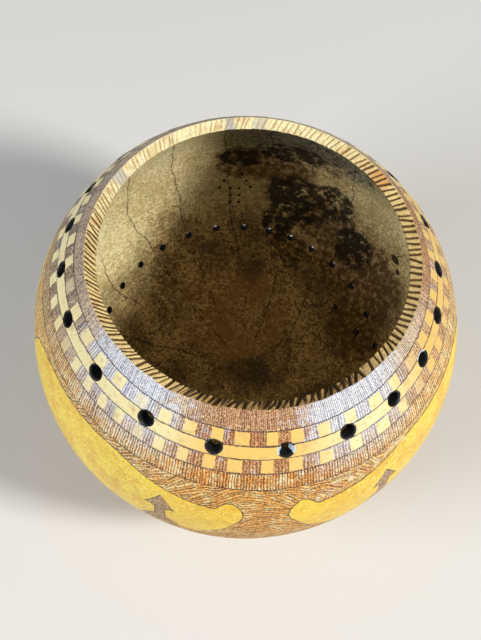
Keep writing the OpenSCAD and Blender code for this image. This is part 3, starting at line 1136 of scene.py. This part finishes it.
def build_rings(name, holes, node, wobble, tight, painted_glints=()):
    """The burnt tubes of one ring of holes. A crust of char narrows their radius by tight towards the inside.

    The last argument gives holes with a painted pale highlight: a hole's azimuth, and where round its tube the
    highlight lies."""
    parts, lips, painted_glint, kinds = [], [], [], []
    for n, (az, lat, r) in enumerate(holes):
        worn = 0.25 * MM + 0.15 * MM * chance(np.array([n * 1.0]))[0]
        skin = BALL_R - 0.05 * MM
        wall = INSIDE_R - float(wall_depth(np.array([az]), np.array([lat]))[0])
        profile = [
            (r + CHAR + 0.3 * MM, skin - 0.6 * MM, 0.0), (r + CHAR + 0.15 * MM, skin - 0.02 * MM, 0.2),
            (r + 0.8 * CHAR, skin, 0.5), (r + 0.5 * CHAR, skin - worn * 0.4, 1.0),
            (r + 0.2 * CHAR, skin - worn * 1.6, 1.0), (r, skin - worn * 3.2, 0.5),
            (r - 0.02 * MM, skin - 2.0 * MM, 0.0), (r - tight, INSIDE_R + 2.0 * MM, 0.0),
            (r - tight, INSIDE_R + 0.9 * MM, 0.0), (r - 0.6 * tight, wall + 0.1 * MM, 0.0),
            (r + 0.25 * CHAR, wall - 0.16 * MM, 0.5), (r + CHAR, wall - 0.12 * MM, 0.1),
            (r + CHAR + 0.3 * MM, wall + 0.7 * MM, 0.0)]
        sides = 64 if r > 3 * MM else 40
        p, l, f = tube(az, lat, profile, sides, wobble, 100 + n)
        shine = np.zeros((len(profile), sides))
        around = np.arange(sides) * 360 / sides
        for place, middles in painted_glints:
            if abs(az % 360 - place) < 4:
                for middle in middles:
                    shine[1:8] = np.maximum(shine[1:8], bump_at(around, middle, 120))
        parts.append((p, f))
        lips.append(l)
        painted_glint.append(shine.ravel())
        kinds.append(np.arange(len(f)) // sides >= THROAT_ROWS)
    points, faces = joined(parts)
    piece = add_piece(name, points, faces, [BURNT, INSIDE], node, "char", np.concatenate(kinds).astype(int))
    add_values(piece, "lip", lips)
    add_values(piece, "painted_glint", painted_glint)


def build_pinholes():
    """The walls of the pinholes."""
    parts = []
    for n, (az, lat, r) in enumerate(pinholes):
        profile = [(r + 0.12 * MM, BALL_R - 0.3 * MM, 0), (r, BALL_R - 0.7 * MM, 0),
                   (r, INSIDE_R + 0.5 * MM, 0), (r + 0.12 * MM, INSIDE_R - 0.2 * MM, 0)]
        p, _, f = tube(az, lat, profile, 20, 0.03 * MM, 300 + n)
        parts.append((p, f))
    add_piece("pinhole_walls", *joined(parts), [PIN], None, "inner_wood")


build_skin()
build_inside()
build_rim()
# Two holes of the upper ring get a painted pale highlight on their lip.
build_rings("char_rings_upper", upper_holes, "upper_hole_linings", 0.16 * MM, UPPER_NARROWS,
            painted_glints=[(285, (0, 180)), (337, (60, 110))])
build_rings("char_rings_lower", lower_holes, "lower_hole_linings", 0.22 * MM, LOWER_NARROWS)
build_pinholes()


# Stage: floor, light and camera
def build_floor():
    """A plain pale floor."""
    mesh = bpy.data.meshes.new("floor")
    half = 4.0
    corners = [(-half, -half, 0), (half, -half, 0), (half, half, 0), (-half, half, 0)]
    mesh.from_pydata(corners, [], [(0, 1, 2, 3)])
    floor = bpy.data.objects.new("floor", mesh)
    bpy.context.scene.collection.objects.link(floor)
    material, _, shader = new_material("floor")
    shader.inputs["Base Color"].default_value = (0.72, 0.72, 0.71, 1)
    shader.inputs["Roughness"].default_value = 0.9
    shader.inputs["Specular IOR Level"].default_value = 0.1
    mesh.materials.append(material)


def add_light(name, azimuth, elevation, distance, size, power, colour):
    """A square soft light that faces the ball, from an azimuth counted like the ornament's."""
    data = bpy.data.lights.new(name, "AREA")
    data.shape = "SQUARE"
    data.size = size
    data.energy = power
    data.color = colour
    light = bpy.data.objects.new(name, data)
    bpy.context.scene.collection.objects.link(light)
    way = Vector(direction(azimuth, elevation).tolist())
    light.location = Vector((0, 0, BELLY_Z)) + way * distance
    light.rotation_mode = "QUATERNION"
    light.rotation_quaternion = way.to_track_quat("Z", "Y")


def build_world():
    """Weak light from all round."""
    world = bpy.data.worlds.new("studio")
    bpy.context.scene.world = world
    world.use_nodes = True
    background = world.node_tree.nodes["Background"]
    background.inputs["Color"].default_value = (0.94, 0.96, 1.0, 1)
    background.inputs["Strength"].default_value = 0.22


def build_camera():
    """The photograph's view: 0.75 m from the ball's middle, 62 degrees up, and leaning 6.6 degrees."""
    data = bpy.data.cameras.new("camera")
    data.sensor_fit = "VERTICAL"
    data.sensor_height = 36
    data.lens = 70.43
    data.shift_x = -0.0082
    data.shift_y = 0.0114
    camera = bpy.data.objects.new("camera", data)
    bpy.context.scene.collection.objects.link(camera)
    elevation, roll, distance = 62.19 * DEG, 6.62 * DEG, 6 * BALL_R
    back = Vector((0, -math.cos(elevation), math.sin(elevation)))
    right = Vector((1, 0, 0))
    up = back.cross(right)
    turned_right = right * math.cos(roll) + up * math.sin(roll)
    turned_up = up * math.cos(roll) - right * math.sin(roll)
    camera.matrix_world = Matrix((turned_right, turned_up, back)).transposed().to_4x4()
    camera.location = Vector((0, 0, BELLY_Z)) + back * distance
    bpy.context.scene.camera = camera


build_floor()
build_world()
add_light("key", azimuth=-22, elevation=39.5, distance=3.0, size=0.5, power=84.0, colour=(1.0, 0.97, 0.91))
add_light("fill", azimuth=214, elevation=30, distance=2.2, size=1.0, power=30.0, colour=(0.94, 0.97, 1.0))
build_camera()
bpy.context.scene.view_settings.view_transform = "Standard"
